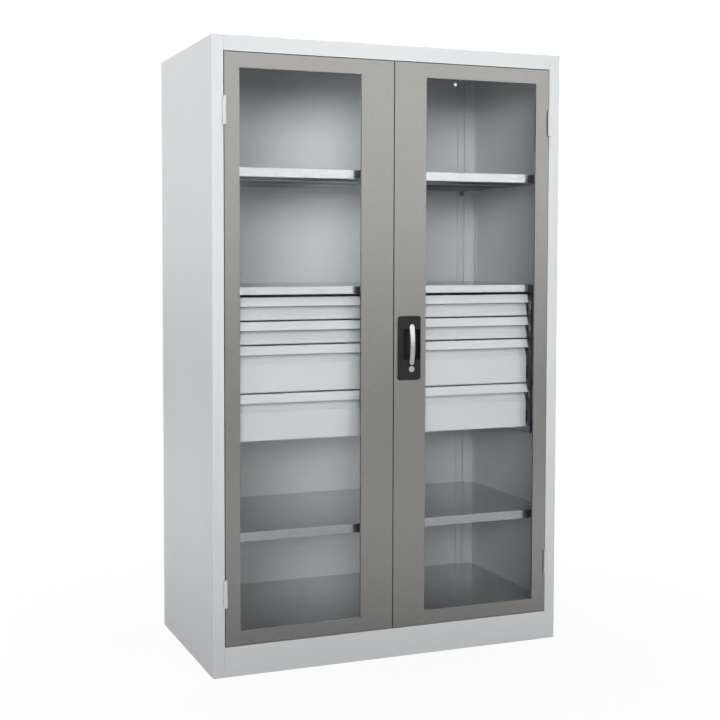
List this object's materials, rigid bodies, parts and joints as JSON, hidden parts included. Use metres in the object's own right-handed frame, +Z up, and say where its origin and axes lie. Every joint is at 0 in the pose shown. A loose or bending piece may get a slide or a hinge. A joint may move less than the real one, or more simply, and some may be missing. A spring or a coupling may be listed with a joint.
{
  "type": "heavy-duty cabinet",
  "caption": "Tall steel storage cabinet with hinged window doors, adjustable shelves, full-width drawers with grip rails and a turning bow handle that drives lock rods.",
  "frame": {"origin": "on the floor under the middle of the whole outline, handle included", "axes": "+Z up, the doors face -Y, +X to the right of a person facing the doors"},
  "size_m": [1.2, 0.62, 1.95],
  "materials": {
    "light_paint": "light grey powder coat",
    "hinge_paint": "pale grey powder coat",
    "door_paint": "warm mid-grey powder coat",
    "zinc": "galvanised sheet",
    "clear_pane": "clear acrylic",
    "black_plastic": "fine-grained black",
    "satin_silver": "satin silver",
    "buffer_rubber": "black rubber"
  },
  "bodies": {
    "carcass": {"side_panel_left": "light_paint", "side_panel_right": "light_paint", "top_panel": "light_paint", "plinth_front": "light_paint", "rear_panel": "light_paint", "floor_panel": "zinc", "base_rail_rear": "light_paint", "upright_front_left": "light_paint", "upright_front_right": "light_paint", "upright_rear_left": "light_paint", "upright_rear_right": "light_paint", "shelf_lower": "zinc", "shelf_middle": "zinc", "shelf_top": "zinc", "shelf_stiffeners": "zinc", "shelf_clips": "zinc", "drawer_carrier_left": "zinc", "drawer_carrier_right": "zinc", "carrier_screws": "zinc", "runner_outer_left": "zinc", "runner_outer_right": "zinc", "hinge_frame": "hinge_paint", "door_buffers": "buffer_rubber"},
    "door_left": {"door_leaf_left": "door_paint", "pane_left": "clear_pane", "pane_frame_left": "zinc", "hinge_door_left": "hinge_paint"},
    "door_right": {"door_leaf_right": "door_paint", "pane_right": "clear_pane", "pane_frame_right": "zinc", "hinge_door_right": "hinge_paint", "handle_plate": "black_plastic", "lock_case": "zinc", "lock_cylinder": "satin_silver", "rod_guides": "zinc"},
    "handle": {"handle_bow": "satin_silver", "handle_cam": "zinc"},
    "key": {"key_core": "satin_silver"},
    "rod_up": {"rod_upper": "zinc"},
    "rod_down": {"rod_lower": "zinc"},
    "drawer_1": {"drawer_front_1": "light_paint", "drawer_box_1": "light_paint", "rails_inner_1": "zinc"},
    "slide_1": {"rails_middle_1": "zinc"},
    "drawer_2": {"drawer_front_2": "light_paint", "drawer_box_2": "light_paint", "rails_inner_2": "zinc"},
    "slide_2": {"rails_middle_2": "zinc"},
    "drawer_3": {"drawer_front_3": "light_paint", "drawer_box_3": "light_paint", "rails_inner_3": "zinc"},
    "slide_3": {"rails_middle_3": "zinc"},
    "drawer_4": {"drawer_front_4": "light_paint", "drawer_box_4": "light_paint", "rails_inner_4": "zinc"},
    "slide_4": {"rails_middle_4": "zinc"}
  },
  "joints": [
    {"name": "door_right_hinge", "type": "hinge", "parent": "carcass", "child": "door_right", "pos_m": [0.56125, -0.295, 0.998], "axis": [0, 0, 1], "range_deg": [0, 180]},
    {"name": "door_left_hinge", "type": "hinge", "parent": "carcass", "child": "door_left", "pos_m": [-0.56125, -0.295, 0.998], "axis": [0, 0, -1], "range_deg": [0, 180]},
    {"name": "handle_turn", "type": "hinge", "parent": "door_right", "child": "handle", "pos_m": [0.06, -0.29, 1.0635], "axis": [0, -1, 0], "range_deg": [0, 90]},
    {"name": "key_turn", "type": "hinge", "parent": "door_right", "child": "key", "pos_m": [0.06, -0.29, 0.928], "axis": [0, -1, 0], "range_deg": [0, 90]},
    {"name": "rod_up_slide", "type": "slide", "parent": "door_right", "child": "rod_up", "axis": [0, 0, 1], "range_m": [0, 0.012]},
    {"name": "rod_down_slide", "type": "slide", "parent": "door_right", "child": "rod_down", "axis": [0, 0, -1], "range_m": [0, 0.012]},
    {"name": "drawer_1_slide", "type": "slide", "parent": "carcass", "child": "drawer_1", "axis": [0, -1, 0], "range_m": [0, 0.4]},
    {"name": "slide_1_slide", "type": "slide", "parent": "carcass", "child": "slide_1", "axis": [0, -1, 0], "range_m": [0, 0.2]},
    {"name": "drawer_2_slide", "type": "slide", "parent": "carcass", "child": "drawer_2", "axis": [0, -1, 0], "range_m": [0, 0.4]},
    {"name": "slide_2_slide", "type": "slide", "parent": "carcass", "child": "slide_2", "axis": [0, -1, 0], "range_m": [0, 0.2]},
    {"name": "drawer_3_slide", "type": "slide", "parent": "carcass", "child": "drawer_3", "axis": [0, -1, 0], "range_m": [0, 0.4]},
    {"name": "slide_3_slide", "type": "slide", "parent": "carcass", "child": "slide_3", "axis": [0, -1, 0], "range_m": [0, 0.2]},
    {"name": "drawer_4_slide", "type": "slide", "parent": "carcass", "child": "drawer_4", "axis": [0, -1, 0], "range_m": [0, 0.4]},
    {"name": "slide_4_slide", "type": "slide", "parent": "carcass", "child": "slide_4", "axis": [0, -1, 0], "range_m": [0, 0.2]}
  ],
  "couplings": [
    {"joint": "door_left_hinge", "follows": "door_right_hinge", "ratio": 1},
    {"joint": "rod_up_slide", "follows": "handle_turn", "m_per_rad": 0.007639},
    {"joint": "rod_down_slide", "follows": "handle_turn", "m_per_rad": 0.007639},
    {"joint": "drawer_1_slide", "follows": "door_right_hinge", "m_per_rad": 0.048},
    {"joint": "slide_1_slide", "follows": "door_right_hinge", "m_per_rad": 0.024},
    {"joint": "drawer_2_slide", "follows": "door_right_hinge", "m_per_rad": 0.054},
    {"joint": "slide_2_slide", "follows": "door_right_hinge", "m_per_rad": 0.027},
    {"joint": "drawer_3_slide", "follows": "door_right_hinge", "m_per_rad": 0.06},
    {"joint": "slide_3_slide", "follows": "door_right_hinge", "m_per_rad": 0.03},
    {"joint": "drawer_4_slide", "follows": "door_right_hinge", "m_per_rad": 0.066},
    {"joint": "slide_4_slide", "follows": "door_right_hinge", "m_per_rad": 0.033}
  ]
}
